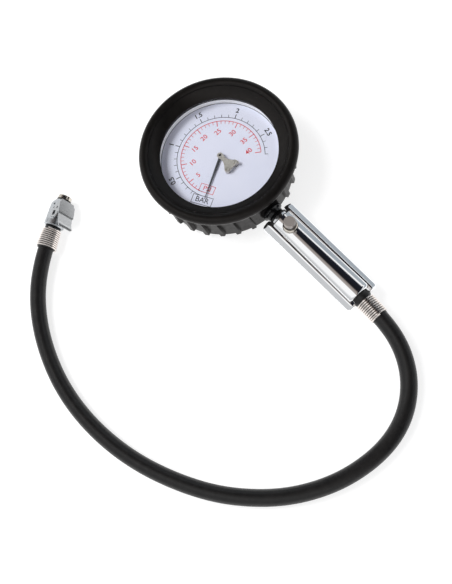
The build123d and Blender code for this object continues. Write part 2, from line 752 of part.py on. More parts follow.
with BuildPart() as chuck_body:
    turned(
        [
            (5.0, 2.65), (5.0, 1.2), (seat_start, 1.2), (seat_start, seat_radius), (mouth_start, seat_radius),
            (mouth_start, mouth_radius), (body_front, mouth_radius), (body_front, 4.75), (15.8, 7.1),
            (12.0, 7.25), (4.0, 6.8), (0.7, 6.6), (0.05, 5.9), (0.05, 2.65),
        ],
        chuck_axis,
        chuck_side,
    )
    shoulder = chuck_body.edges().filter_by(GeomType.CIRCLE).filter_by(lambda edge: 7.0 < edge.radius < 7.2)
    fillet(shoulder, 2.4)
    with BuildSketch(chuck_side):  # the slope under the lever's plate, and a flat behind it
        with BuildLine():
            Polyline(
                (19.0, lever_line(0.3, 19.0)), (12.05, lever_line(0.3, 12.05)), (2.0, lever_line(0.3, 12.05)),
                (2.0, 9.0), (19.0, 9.0),
                close=True,
            )
        make_face()
    extrude(amount=8.0, both=True, mode=Mode.SUBTRACT)
    with BuildSketch(chuck_top(0)):  # flats beside the lever's ears
        with Locations((11.4, cheek + 2), (11.4, -cheek - 2)):
            Rectangle(15.0, 4.0)
    extrude(amount=8.0, both=True, mode=Mode.SUBTRACT)
    with BuildSketch(chuck_top(pocket_floor)):  # pocket for the spring
        with Locations((spring_along, 0)):
            Circle(2.2)
    extrude(amount=7.0, mode=Mode.SUBTRACT)
    with BuildSketch(chuck_side):
        with Locations((pin_along, pin_up)):
            Circle(pin_radius)
    extrude(amount=8.0, both=True, mode=Mode.SUBTRACT)
    with BuildSketch(chuck_top(3.6)):  # slot that lets the lever's tooth reach the valve
        with Locations((17.7, 0)):
            Rectangle(2.2, 5.4)
    extrude(amount=4.0, mode=Mode.SUBTRACT)
    with BuildSketch(chuck_side):  # windows into the spring's pocket
        with Locations((spring_along, 4.2)):
            RectangleRounded(3.2, 3.0, 0.6)
    extrude(amount=8.0, both=True, mode=Mode.SUBTRACT)
    for hand in (1, -1):  # two blind slots in each side
        with BuildSketch(Plane(chuck_base + side * (hand * cheek), x_dir=along, z_dir=side * hand)):
            with Locations((12.2, hand * 0.2), (14.9, hand * -1.2)):
                RectangleRounded(1.3, 1.7, 0.4)
        extrude(amount=-0.45, mode=Mode.SUBTRACT)
save(chuck_body, "chuck_body")

with BuildPart() as chuck_seal:
    turned(
        [(14.4, 1.7), (16.3, 1.7), (16.3, 4.2), (14.4, 4.2)],
        chuck_axis,
        chuck_side,
    )
save(chuck_seal, "chuck_seal")

with BuildPart() as nose_gasket:
    turned(
        [(body_front, mouth_radius), (19.7, mouth_radius), (19.7, 4.65), (body_front, 4.65)],
        chuck_axis,
        chuck_side,
    )
save(nose_gasket, "nose_gasket")

with BuildPart() as chuck_nose:
    turned(
        [
            (19.7, mouth_radius), (chuck_length, mouth_radius), (chuck_length, 4.2), (21.9, 4.5),
            (19.7, 4.55),
        ],
        chuck_axis,
        chuck_side,
    )
save(chuck_nose, "chuck_nose")

with BuildPart() as valve_depressor:
    turned(
        [
            (10.6, 0), (10.6, 0.7), (13.6, 0.7), (13.6, 3.4), (14.3, 3.4), (14.3, 0.9), (15.6, 0.9),
            (16.1, 0.4), (16.1, 0),
        ],
        chuck_axis,
        chuck_side,
    )
    for turn in range(3):
        hole_place = Vector(2.2, 0, 0).rotate(Axis.Z, 120 * turn)
        with BuildSketch(Plane(chuck_base + along * 13.0, x_dir=side, z_dir=along)):
            with Locations((hole_place.X, hole_place.Y)):
                Circle(0.7)
        extrude(amount=2.0, mode=Mode.SUBTRACT)
save(valve_depressor, "valve_depressor")

with BuildPart() as chuck_barb:
    turned(
        [
            (4.9, 1.1), (4.9, 2.6), (0, 2.6), (0, 2.5), (-3.5, 2.5), (-3.5, 2.85), (-7.0, 2.5), (-7.0, 2.85),
            (-10.5, 2.5), (-10.5, 2.85), (-14.5, 2.3), (-14.5, 1.1),
        ],
        chuck_axis,
        chuck_side,
    )
save(chuck_barb, "chuck_barb")

with BuildPart() as chuck_coil_clamp:
    wire_clamp(chuck_base - along * (wire_pitch * wire_turns + 1.6), along, flare=0.75)
save(chuck_coil_clamp, "chuck_coil_clamp")

# The lever is one sheet: a sloping plate over the body, two ears down to the pin, a tooth at its
# front, and a thumb tab that dips behind the plate and then flares away from the body.
lever_outline = [
    (18.4, lever_line(0, 18.4)), (9.0, lever_line(0, 9.0)), (7.4, 8.45), (2.0, 11.3), (0.4, 12.7), (-0.8, 13.0),
    (-0.8, 13.8), (0.7, 13.6), (2.4, 12.2), (7.8, 9.3), (9.0, lever_line(-0.9, 9.0)),
    (18.4, lever_line(-0.9, 18.4)),
]
lever_plan = [
    (-0.9, 4.4), (0.2, 5.3), (4.0, 5.1), (8.0, 5.5), (9.0, 6.15), (15.8, 6.15), (18.5, 4.6),
    (18.5, -4.6), (15.8, -6.15), (9.0, -6.15), (8.0, -5.5), (4.0, -5.1), (0.2, -5.3), (-0.9, -4.4),
]
ear_outline = [
    (9.2, lever_line(-0.4, 9.2)), (4.9, 5.6), (5.0, 2.2), (9.5, 1.4), (13.0, 2.6),
    (15.6, lever_line(-0.4, 15.6)),
]
with BuildPart() as chuck_lever:
    with BuildSketch(chuck_side):
        with BuildLine():
            Polyline(lever_outline, close=True)
        make_face()
    extrude(amount=8.0, both=True)
    with BuildSketch(chuck_top(3)):
        with BuildLine():
            Polyline(lever_plan, close=True)
        make_face()
    extrude(amount=12.0, mode=Mode.INTERSECT)
    for hand in (1, -1):  # the ears
        with BuildSketch(Plane(chuck_base + side * (hand * (cheek + 0.3)), x_dir=along, z_dir=side * hand)):
            with BuildLine():
                Polyline([(x, hand * y) for x, y in ear_outline], close=True)
            make_face()
            with Locations((pin_along, hand * pin_up)):
                Circle(pin_radius + running_gap, mode=Mode.SUBTRACT)
            with Locations((spring_along, hand * 4.2)):
                RectangleRounded(3.4, 2.8, 0.6, mode=Mode.SUBTRACT)
        extrude(amount=lever_thickness)
    with BuildSketch(chuck_side):  # the tooth
        with BuildLine():
            Polyline((17.0, 5.4), (17.0, 4.2), (18.0, 4.2), (18.0, 5.4), close=True)
        make_face()
    extrude(amount=2.0, both=True)
save(chuck_lever, "chuck_lever")

with BuildPart() as lever_pin:
    pin_centre = chuck_base + along * pin_along + up * pin_up
    with BuildSketch(Plane(pin_centre, x_dir=along, z_dir=side)):
        Circle(pin_radius)
    extrude(amount=6.5, both=True)
save(lever_pin, "lever_pin")

spring_foot = chuck_base + along * spring_along + up * (pocket_floor + 0.4)
with BuildPart() as lever_spring:
    with BuildLine():
        coil_path = Helix(pitch=1.05, height=4.3, radius=1.5, center=spring_foot, direction=up)
    with BuildSketch(Plane(coil_path @ 0, z_dir=coil_path % 0)):
        Circle(0.34)
    sweep(path=coil_path, is_frenet=True)
save(lever_spring, "lever_spring")
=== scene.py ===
import json
from math import cos, pi, radians, sin

import bmesh
import bpy
from mathutils import Matrix, Vector

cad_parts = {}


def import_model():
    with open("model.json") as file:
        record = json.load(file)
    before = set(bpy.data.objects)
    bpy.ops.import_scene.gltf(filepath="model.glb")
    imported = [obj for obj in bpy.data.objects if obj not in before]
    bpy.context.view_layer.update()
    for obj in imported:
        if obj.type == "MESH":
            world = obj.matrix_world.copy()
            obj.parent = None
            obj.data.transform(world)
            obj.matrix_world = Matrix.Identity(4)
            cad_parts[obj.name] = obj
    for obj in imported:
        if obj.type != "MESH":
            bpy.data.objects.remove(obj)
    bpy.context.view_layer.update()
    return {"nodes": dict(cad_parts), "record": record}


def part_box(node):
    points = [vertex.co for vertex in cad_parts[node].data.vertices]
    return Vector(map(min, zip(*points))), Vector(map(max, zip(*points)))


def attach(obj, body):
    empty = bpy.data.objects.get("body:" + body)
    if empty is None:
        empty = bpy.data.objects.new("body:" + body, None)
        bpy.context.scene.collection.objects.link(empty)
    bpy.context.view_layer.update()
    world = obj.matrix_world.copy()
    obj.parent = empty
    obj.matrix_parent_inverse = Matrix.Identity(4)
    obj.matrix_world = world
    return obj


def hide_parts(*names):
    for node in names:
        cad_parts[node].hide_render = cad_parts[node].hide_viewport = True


# Tyre pressure gauge: materials on the CAD parts, the printed dial, the hose, its wound wire clamps
# and the studio round them.  Metres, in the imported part's frame: the boot's back lies on the floor,
# +Z is the dial's normal and the handle leaves along -Y.

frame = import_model()
nodes = frame["nodes"]
MM = 0.001


# ======================= materials =======================

class Finish:
    """A Principled material with procedural detail measured in the object's own millimetres."""

    def __init__(self, name, colour, roughness, metallic=0.0, specular=0.5):
        self.material = bpy.data.materials.new(name)
        self.material.use_nodes = True
        self.material.diffuse_color = (*colour, 1.0)
        self.tree = self.material.node_tree
        self.shader = self.tree.nodes["Principled BSDF"]
        self.colour = colour
        self.roughness = roughness
        self.set("Base Color", (*colour, 1.0))
        self.set("Roughness", roughness)
        self.set("Metallic", metallic)
        self.set("Specular IOR Level", specular)
        self.place = self.add("ShaderNodeTexCoord").outputs["Object"]
        self.relief = None

    def add(self, kind, **settings):
        node = self.tree.nodes.new(kind)
        for key, value in settings.items():
            setattr(node, key, value)
        return node

    def set(self, socket, value):
        self.shader.inputs[socket].default_value = value

    def join(self, source, target):
        self.tree.links.new(source, target)

    def noise(self, size, detail=3.0, stretch=(1, 1, 1)):
        """Noise with patches of about this many millimetres, drawn out along an axis by stretch."""
        mapping = self.add("ShaderNodeMapping")
        mapping.inputs["Scale"].default_value = [1 / (MM * size * s) for s in stretch]
        self.join(self.place, mapping.inputs["Vector"])
        noise = self.add("ShaderNodeTexNoise")
        noise.inputs["Scale"].default_value = 1.0
        noise.inputs["Detail"].default_value = detail
        self.join(mapping.outputs[0], noise.inputs["Vector"])
        return noise.outputs["Fac"]

    def spread(self, source, low, high, start=0.3, stop=0.7):
        """The source, from start to stop, mapped to low to high and kept within them."""
        spread = self.add("ShaderNodeMapRange", clamp=True)
        limits = {"From Min": start, "From Max": stop, "To Min": low, "To Max": high}
        for key, value in limits.items():
            spread.inputs[key].default_value = value
        self.join(source, spread.inputs["Value"])
        return spread.outputs["Result"]

    def tint(self, source, other, amount=1.0, start=0.35, stop=0.65):
        """Mixes another colour into the base colour where the source is high."""
        mix = self.add("ShaderNodeMix", data_type="RGBA")
        self.join(self.spread(source, 0.0, amount, start, stop), mix.inputs["Factor"])
        before = self.shader.inputs["Base Color"]
        if before.is_linked:
            self.join(before.links[0].from_socket, mix.inputs["A"])
        else:
            mix.inputs["A"].default_value = (*self.colour, 1.0)
        mix.inputs["B"].default_value = (*other, 1.0)
        self.join(mix.outputs["Result"], before)

    def vary_roughness(self, source, by):
        """Lets the roughness follow the source, up to this much below and above its own value."""
        varied = self.spread(source, self.roughness - by, self.roughness + by)
        self.join(varied, self.shader.inputs["Roughness"])

    def bump(self, source, depth, strength=1.0):
        """Raises the surface by up to this many millimetres where the source is high."""
        bump = self.add("ShaderNodeBump")
        bump.inputs["Strength"].default_value = strength
        bump.inputs["Distance"].default_value = depth * MM
        self.join(source, bump.inputs["Height"])
        if self.relief is not None:
            self.join(self.relief, bump.inputs["Normal"])
        self.relief = bump.outputs["Normal"]
        self.join(self.relief, self.shader.inputs["Normal"])


def boot_rubber():
    """Moulded matt black rubber with a slight sheen, a fine grain and a few paler scuffs."""
    made = Finish("boot_rubber", (0.0046, 0.0042, 0.0040), 0.36, specular=0.25)
    made.set("Specular Tint", (1.0, 0.93, 0.91, 1.0))
    made.tint(made.noise(7.0), (0.0070, 0.0064, 0.006), 0.8)
    made.tint(made.noise(2.2, 6.0, (1, 1, 3)), (0.02, 0.018, 0.016), 0.35, 0.62, 0.78)
    made.vary_roughness(made.noise(3.0), 0.07)
    made.bump(made.noise(0.35, 2.0), 0.02, 0.5)
    made.bump(made.noise(5.0), 0.06, 0.3)
    return made.material


def hose_rubber():
    """Extruded black rubber: satin, with a fine grain and a slow waviness."""
    made = Finish("hose_rubber", (0.007, 0.0068, 0.007), 0.38, specular=0.40)
    made.tint(made.noise(5.0), (0.013, 0.012, 0.012), 0.7)
    made.vary_roughness(made.noise(1.6, 4.0), 0.08)
    made.bump(made.noise(0.5, 3.0), 0.02, 0.5)
    made.bump(made.noise(9.0), 0.1, 0.25)
    return made.material


def seal_rubber():
    """Plain black rubber of the seals and gaskets."""
    made = Finish("seal_rubber", (0.012, 0.012, 0.012), 0.6, specular=0.35)
    made.tint(made.noise(1.2), (0.02, 0.02, 0.02), 0.7)
    made.bump(made.noise(0.3), 0.015, 0.5)
    return made.material


def chrome():
    """Polished chrome plate with a cool tone and a faint, slow waviness."""
    made = Finish("chrome", (0.95, 0.955, 0.965), 0.06, metallic=1.0)
    made.tint(made.noise(14.0), (0.89, 0.90, 0.92), 0.6)
    made.vary_roughness(made.noise(6.0, 5.0), 0.025)
    made.bump(made.noise(9.0, 1.0), 0.012, 0.3)
    return made.material


def satin_chrome():
    """Chrome over an unpolished casting: mid grey, cool and softly blurred."""
    made = Finish("satin_chrome", (0.54, 0.56, 0.58), 0.3, metallic=1.0)
    made.tint(made.noise(3.0), (0.46, 0.48, 0.50), 0.6)
    made.vary_roughness(made.noise(1.5, 4.0), 0.07)
    made.bump(made.noise(0.5), 0.008, 0.4)
    return made.material


def nickel():
    """Warm bright nickel on turned and pressed pieces."""
    made = Finish("nickel", (0.70, 0.66, 0.60), 0.22, metallic=1.0)
    made.tint(made.noise(1.5), (0.55, 0.50, 0.44), 0.6)
    made.vary_roughness(made.noise(0.9, 4.0), 0.08)
    made.bump(made.noise(0.3), 0.01, 0.5)
    return made.material


def wire_nickel():
    """Bright drawn wire of the hose clamps."""
    made = Finish("wire_nickel", (0.90, 0.84, 0.80), 0.18, metallic=1.0)
    made.tint(made.noise(4.0), (0.78, 0.72, 0.68), 0.6)
    made.vary_roughness(made.noise(1.5, 4.0), 0.05)
    made.bump(made.noise(0.3), 0.004, 0.3)
    return made.material


def lever_steel():
    """Satin grey zinc plate on pressed steel, with a fine grain."""
    made = Finish("lever_steel", (0.56, 0.57, 0.58), 0.34, metallic=1.0)
    made.tint(made.noise(0.7, 5.0), (0.44, 0.45, 0.46), 0.7)
    made.vary_roughness(made.noise(0.8, 4.0), 0.08)
    made.bump(made.noise(0.18, 3.0), 0.008, 0.5)
    return made.material


def spring_steel():
    """Bright steel of springs, pins and small screws."""
    made = Finish("spring_steel", (0.56, 0.56, 0.57), 0.25, metallic=1.0)
    made.tint(made.noise(1.0), (0.42, 0.42, 0.44), 0.6)
    made.vary_roughness(made.noise(0.6, 4.0), 0.08)
    made.bump(made.noise(0.2), 0.006, 0.4)
    return made.material


def copper_wire():
    """Coppered spring wire."""
    made = Finish("copper_wire", (0.62, 0.33, 0.19), 0.3, metallic=1.0)
    made.tint(made.noise(0.8), (0.35, 0.17, 0.10), 0.7)
    made.vary_roughness(made.noise(0.5), 0.08)
    made.bump(made.noise(0.2), 0.006, 0.4)
    return made.material


def brass():
    """Machined brass with a light tarnish."""
    made = Finish("brass", (0.72, 0.52, 0.24), 0.3, metallic=1.0)
    made.tint(made.noise(3.0, 5.0), (0.48, 0.33, 0.15), 0.6)
    made.vary_roughness(made.noise(1.2, 4.0), 0.1)
    made.bump(made.noise(0.3, 3.0), 0.01, 0.4)
    return made.material


def case_steel():
    """Black stove enamel on the steel case and its bezel ring."""
    made = Finish("case_steel", (0.022, 0.022, 0.024), 0.35, specular=0.5)
    made.tint(made.noise(4.0), (0.035, 0.035, 0.037), 0.6)
    made.vary_roughness(made.noise(2.0), 0.08)
    made.bump(made.noise(0.8), 0.012, 0.4)
    return made.material


def white_plastic():
    """White moulded plastic of the ring between the dial and the glass.  It glows a little: a painted
    glow that lightens the ring where the boot's lip shades it."""
    made = Finish("white_plastic", (0.95, 0.95, 0.96), 0.4, specular=0.4)
    # Painted glow: a faint emission that stands in for light on the shaded ring.
    made.set("Emission Color", (1, 1, 1, 1))
    made.set("Emission Strength", 0.12)
    made.tint(made.noise(6.0), (0.90, 0.90, 0.92), 0.6)
    made.vary_roughness(made.noise(2.0), 0.06)
    made.bump(made.noise(0.6), 0.01, 0.3)
    return made.material


def dial_print():
    """Enamelled dial plate: a pale lavender white, slightly cloudy, with a fine paler speckle."""
    made = Finish("dial_print", (0.79, 0.80, 0.91), 0.32, specular=0.35)
    made.tint(made.noise(18.0), (0.75, 0.765, 0.885), 0.8)
    made.tint(made.noise(0.25, 2.0), (0.84, 0.85, 0.93), 0.35, 0.5, 0.7)
    made.vary_roughness(made.noise(4.0), 0.05)
    made.bump(made.noise(0.4, 2.0), 0.004, 0.4)
    return made.material


def bridge_nickel():
    """Pale tumbled nickel of the pointer's bridge and its screws."""
    made = Finish("bridge_nickel", (0.68, 0.65, 0.59), 0.36, metallic=0.4)
    made.tint(made.noise(1.1, 4.0), (0.46, 0.44, 0.39), 0.8)
    made.vary_roughness(made.noise(0.6, 4.0), 0.1)
    made.bump(made.noise(0.9), 0.12, 0.8)
    return made.material


def button_nickel():
    """Dull grey-brown nickel of the bleed button."""
    made = Finish("button_nickel", (0.46, 0.42, 0.395), 0.4, metallic=0.6)
    made.tint(made.noise(0.6, 4.0), (0.54, 0.49, 0.46), 0.5)
    made.vary_roughness(made.noise(0.8, 4.0), 0.08)
    made.bump(made.noise(0.2), 0.006, 0.4)
    return made.material


def black_enamel():
    """Glossy black over the chrome collar of the neck: a painted reflection of the black boot, which
    the chrome mirrors there.
    """
    made = Finish("black_enamel", (0.006, 0.006, 0.007), 0.16, specular=0.45)
    made.tint(made.noise(2.0), (0.012, 0.012, 0.013), 0.6)
    made.vary_roughness(made.noise(1.0, 4.0), 0.06)
    made.bump(made.noise(0.6), 0.01, 0.4)
    return made.material


def ink(name, colour, thin):
    """Screen-printed ink that lets a little of the dial through."""
    made = Finish(name, colour, 0.5, specular=0.2)
    made.tint(made.noise(0.5, 3.0), thin, 0.5, 0.45, 0.75)
    made.vary_roughness(made.noise(0.4), 0.08)
    made.bump(made.noise(0.12), 0.003, 0.4)
    return made.material


def pointer_paint():
    """Satin dark grey paint on the pointer."""
    made = Finish("pointer_paint", (0.045, 0.047, 0.052), 0.4, specular=0.5)
    made.tint(made.noise(0.8), (0.07, 0.073, 0.08), 0.7)
    made.vary_roughness(made.noise(0.5), 0.08)
    made.bump(made.noise(0.2), 0.004, 0.4)
    return made.material


def clear_glass():
    """Flat glass: it shows what is behind it and mirrors a little, more at a low angle."""
    made = bpy.data.materials.new("clear_lens")
    made.use_nodes = True
    tree = made.node_tree
    tree.nodes.remove(tree.nodes["Principled BSDF"])
    fresnel = tree.nodes.new("ShaderNodeFresnel")
    fresnel.inputs["IOR"].default_value = 1.12
    through = tree.nodes.new("ShaderNodeBsdfTransparent")
    through.inputs["Color"].default_value = (0.985, 0.99, 0.995, 1.0)
    gloss = tree.nodes.new("ShaderNodeBsdfGlossy")
    gloss.inputs["Roughness"].default_value = 0.03
    mix = tree.nodes.new("ShaderNodeMixShader")
    tree.links.new(fresnel.outputs[0], mix.inputs[0])
    tree.links.new(through.outputs[0], mix.inputs[1])
    tree.links.new(gloss.outputs[0], mix.inputs[2])
    tree.links.new(mix.outputs[0], tree.nodes["Material Output"].inputs["Surface"])
    return made


FINISHES = {
    "boot_rubber": boot_rubber(),
    "hose_rubber": hose_rubber(),
    "seal_rubber": seal_rubber(),
    "chrome": chrome(),
    "nickel": nickel(),
    "wire_nickel": wire_nickel(),
    "lever_steel": lever_steel(),
    "spring_steel": spring_steel(),
    "copper_wire": copper_wire(),
    "brass": brass(),
    "case_steel": case_steel(),
    "white_plastic": white_plastic(),
    "dial_print": dial_print(),
    "pointer_paint": pointer_paint(),
    "clear_lens": clear_glass(),
}
OWN_FINISHES = {
    "chuck_body": satin_chrome(),
    "bleed_button": button_nickel(),
    # The neck's chrome collar is painted black: a painted reflection of the boot.
    "neck_collar": black_enamel(),
    "pointer_bridge": bridge_nickel(),
    "bridge_screws": bridge_nickel(),
}
BLACK_INK = ink("black_ink", (0.008, 0.008, 0.012), (0.05, 0.05, 0.06))
RED_INK = ink("red_ink", (0.66, 0.012, 0.016), (0.72, 0.06, 0.07))


def dress_cad_parts():
    """Gives every CAD node the finish of its material slot, or one of its own."""
    slots = {part["node"]: part["material_slot"] for part in frame["record"]["subparts"]}
    for name, node in nodes.items():
        node.data.materials.clear()
        node.data.materials.append(OWN_FINISHES.get(name) or FINISHES[slots[name]])


# ======================= pieces =======================

def piece(name, data, finish, body="gauge"):
    """Links a new object, gives it its finish and makes it ride on a body."""
    made = bpy.data.objects.new(name, data)
    bpy.context.scene.collection.objects.link(made)
    made.data.materials.clear()
    made.data.materials.append(finish)
    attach(made, body)
    return made


def mesh_of(curve):
    """The mesh that a curve or text makes, with its data left as it was."""
    holder = bpy.data.objects.new("holder", curve)
    bpy.context.scene.collection.objects.link(holder)
    bpy.context.view_layer.update()
    depsgraph = bpy.context.evaluated_depsgraph_get()
    made = bpy.data.meshes.new_from_object(holder.evaluated_get(depsgraph))
    bpy.data.objects.remove(holder)
    return made


# ---- the printed dial ----

DIAL_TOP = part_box("dial_plate")[1].z
INK_HEIGHT = 0.03 * MM
ZERO_ANGLE = 207.3  # where the scales start, from +X towards +Y
DEGREES_PER_BAR = 88.9
DEGREES_PER_PSI = 6.129
BAR_START, BAR_END = 0.02, 2.8  # where the scales' long lines start and end
PSI_START, PSI_END = 1.0, 40
LAST_NUMBER_ANGLE = -33.0  # the last number stands beside its tick, inside the scale
BAR_RADIUS = 28.1
PSI_RADIUS = 25.6
BORDER_RADIUS = 38.35
BAR_NUMBER_RADIUS = 33.7
PSI_NUMBER_RADIUS = 18.0
NUMBER_SIZE = 4.4
BAR_SWELL = 0.09  # how much the strokes of the numbers are thickened on each side
PSI_SWELL = 0.03
SCALE_STEPS = 120
BORDER_STEPS = 180
BAR_LINE = 0.34  # the widths of the scales' long lines
PSI_LINE = 0.40
THIN_LINE = 0.32  # the border and the unit boxes
MAJOR_TICK = 0.46
MINOR_TICK = 0.30
MINOR_REACH = 2.0  # the ticks' lengths, away from the scales' long lines
BAR_MAJOR_REACH = 3.0
PSI_MAJOR_REACH = 3.7
# The unit labels: the middle, the turn, the box's length and height, and the size of the letters.
BAR_LABEL = (Vector((-27.7, -13.6, 0)), -61.5, (13.2, 5.7), 4.9)
PSI_LABEL = (Vector((-20.4, -10.2, 0)), -63.9, (9.6, 5.2), 4.4)


def polar(radius, angle):
    return Vector((radius * cos(radians(angle)), radius * sin(radians(angle)), 0.0))


class Print:
    """Flat ink shapes gathered into one thin mesh on the dial, drawn in millimetres."""

    def __init__(self):
        self.mesh = bmesh.new()

    def slab(self, outline):
        """A closed outline raised by the ink's height."""
        low = [self.mesh.verts.new((p.x * MM, p.y * MM, DIAL_TOP)) for p in outline]
        high = [self.mesh.verts.new((p.x * MM, p.y * MM, DIAL_TOP + INK_HEIGHT)) for p in outline]
        count = len(outline)
        self.mesh.faces.new(high)
        self.mesh.faces.new(low[::-1])
        for i in range(count):
            j = (i + 1) % count
            self.mesh.faces.new((low[i], low[j], high[j], high[i]))

    def line(self, start, end, width):
        """A straight line with square ends."""
        across = (end - start).normalized().cross(Vector((0, 0, 1))) * (width / 2)
        self.slab([start + across, end + across, end - across, start - across])

    def arc(self, radius, start, end, width, steps):
        """An arc as one ring of quads, raised by the ink's height."""
        rows = []
        for i in range(steps + 1):
            angle = start + (end - start) * i / steps
            row = []
            for side, lift in ((-1, 0), (1, 0), (1, INK_HEIGHT), (-1, INK_HEIGHT)):
                place = polar(radius + side * width / 2, angle) * MM
                row.append(self.mesh.verts.new((place.x, place.y, DIAL_TOP + lift)))
            rows.append(row)
        for before, after in zip(rows, rows[1:]):
            for i in range(4):
                j = (i + 1) % 4
                self.mesh.faces.new((before[i], before[j], after[j], after[i]))
        full_circle = abs(abs(end - start) - 360) < 1e-6
        if not full_circle:
            self.mesh.faces.new(rows[0][::-1])
            self.mesh.faces.new(rows[-1])

    def text(self, body, centre, turn, size, swell):
        """Lettering centred on a point and turned about it, with its strokes swollen a little."""
        curve = bpy.data.curves.new("lettering", "FONT")
        curve.body = body
        curve.size = size * MM
        curve.extrude = INK_HEIGHT / 2
        curve.offset = swell * MM
        curve.align_x = "CENTER"
        curve.align_y = "CENTER"
        curve.resolution_u = 4
        made = mesh_of(curve)
        place = Matrix.Translation((centre.x * MM, centre.y * MM, DIAL_TOP + INK_HEIGHT / 2))
        made.transform(place @ Matrix.Rotation(radians(turn), 4, "Z"))
        self.mesh.from_mesh(made)
        bpy.data.meshes.remove(made)

    def box(self, centre, turn, length, height, width):
        """A frame of four lines round a label."""
        along = polar(1, turn) * (length / 2)
        across = polar(1, turn + 90) * (height / 2)
        corners = [
            centre - along - across, centre + along - across,
            centre + along + across, centre - along + across,
        ]
        for i in range(4):
            start, end = corners[i], corners[(i + 1) % 4]
            over = (end - start).normalized() * (width / 2)
            self.line(start - over, end + over, width)

    def finish(self, name, finish):
        """Makes a piece of what has been drawn."""
        bmesh.ops.remove_doubles(self.mesh, verts=self.mesh.verts, dist=1e-7)
        bmesh.ops.recalc_face_normals(self.mesh, faces=self.mesh.faces)
        data = bpy.data.meshes.new(name)
        self.mesh.to_mesh(data)
        self.mesh.free()
        piece(name, data, finish)


def bar_angle(bar):
    return ZERO_ANGLE - DEGREES_PER_BAR * bar


def psi_angle(psi):
    return ZERO_ANGLE - DEGREES_PER_PSI * psi


def dial_printing():
    """The two scales, their numbers, the two unit boxes and the thin border line."""
    bar_place, bar_turn, bar_box, bar_size = BAR_LABEL
    psi_place, psi_turn, psi_box, psi_size = PSI_LABEL

    bar_scale = Print()
    bar_scale.arc(BAR_RADIUS, bar_angle(BAR_START), bar_angle(BAR_END), BAR_LINE, SCALE_STEPS)
    for tenth in range(1, round(BAR_END * 10) + 1):
        major = tenth % 5 == 0
        outer = BAR_RADIUS + (BAR_MAJOR_REACH if major else MINOR_REACH)
        angle = bar_angle(tenth / 10)
        width = MAJOR_TICK if major else MINOR_TICK
        bar_scale.line(polar(BAR_RADIUS, angle), polar(outer, angle), width)
    bar_scale.box(bar_place, bar_turn, *bar_box, THIN_LINE)
    bar_scale.finish("bar_scale", BLACK_INK)

    bar_numbers = Print()
    for label, bar in (("0.5", 0.5), ("1", 1.0), ("1.5", 1.5), ("2", 2.0), ("2.5", 2.5)):
        angle = bar_angle(bar)
        bar_numbers.text(label, polar(BAR_NUMBER_RADIUS, angle), angle - 90, NUMBER_SIZE, BAR_SWELL)
    bar_numbers.text("BAR", bar_place, bar_turn, bar_size, 0.0)
    bar_numbers.finish("bar_numbers", BLACK_INK)

    psi_scale = Print()
    psi_scale.arc(PSI_RADIUS, psi_angle(PSI_START), psi_angle(PSI_END), PSI_LINE, SCALE_STEPS)
    for psi in range(2, PSI_END + 1):
        major = psi % 5 == 0
        inner = PSI_RADIUS - (PSI_MAJOR_REACH if major else MINOR_REACH)
        angle = psi_angle(psi)
        width = MAJOR_TICK if major else MINOR_TICK
        psi_scale.line(polar(PSI_RADIUS, angle), polar(inner, angle), width)
    psi_scale.box(psi_place, psi_turn, *psi_box, THIN_LINE)
    psi_scale.finish("psi_scale", RED_INK)

    psi_numbers = Print()
    for psi in range(5, PSI_END + 1, 5):
        angle = max(psi_angle(psi), LAST_NUMBER_ANGLE)
        psi_numbers.text(str(psi), polar(PSI_NUMBER_RADIUS, angle), 0, NUMBER_SIZE, PSI_SWELL)
    psi_numbers.text("PSI", psi_place, psi_turn, psi_size, 0.0)
    psi_numbers.finish("psi_numbers", RED_INK)

    border = Print()
    border.arc(BORDER_RADIUS, 0, 360, THIN_LINE, BORDER_STEPS)
    border.finish("dial_border", BLACK_INK)


# ---- the hose and its wound wire clamps ----

HOSE_RADIUS = 5.0
WIRE_PITCH = 1.35
WIRE_RADIUS = 0.52
WIRE_TURNS = 10
WIRE_STEPS = 32  # points in each turn
WIRE_LIFT = 16.0  # how fast a loose end leaves the hose: millimetres for each turn squared
# The hose's route, in millimetres: out of the handle, down to the surface, and round to the chuck.
HOSE_ROUTE = [
    (0, -123.5, 12.3),
    (0, -143, 12.3),
    (-4.5, -164, 8.8),
    (-16.5, -181.5, 5.4),
    (-35.5, -193.3, 5.05),
    (-59.5, -196.5, 5.05),
    (-89, -190.5, 5.05),
    (-118.5, -173.5, 5.05),
    (-146, -143, 5.05),
    (-167, -96, 5.05),
    (-171.5, -45, 5.05),
    (-158, 2, 5.1),
    (-132, 35.4, 7.5),
    (-107.6, 49.5, 7.5),
]


def hose_curve(bevel):
    """One smooth NURBS spline on the route, with a round section if bevel is given."""
    curve = bpy.data.curves.new("hose", "CURVE")
    curve.dimensions = "3D"
    curve.resolution_u = 24
    spline = curve.splines.new("NURBS")
    spline.points.add(len(HOSE_ROUTE) - 1)
    for point, place in zip(spline.points, HOSE_ROUTE):
        point.co = (*(Vector(place) * MM), 1.0)
    spline.order_u = 3
    spline.use_endpoint_u = True
    curve.bevel_depth = bevel
    curve.bevel_resolution = 10
    curve.use_fill_caps = bevel > 0
    return curve


def hose_line():
    """Points along the middle of the hose."""
    mesh = mesh_of(hose_curve(0.0))
    points = [v.co.copy() for v in mesh.vertices]
    bpy.data.meshes.remove(mesh)
    return points


def along_line(points, distance):
    """The place and heading at a distance along a line of points."""
    walked = 0.0
    for before, after in zip(points, points[1:]):
        step = (after - before).length
        if walked + step >= distance:
            return before.lerp(after, (distance - walked) / step), (after - before).normalized()
        walked += step
    return points[-1], (points[-1] - points[-2]).normalized()


def ring_frame(line, distance):
    """The place on the hose at a distance, with the two directions across it."""
    place, heading = along_line(line, distance)
    across = heading.cross(Vector((0, 0, 1))).normalized()
    return place, across, across.cross(heading)


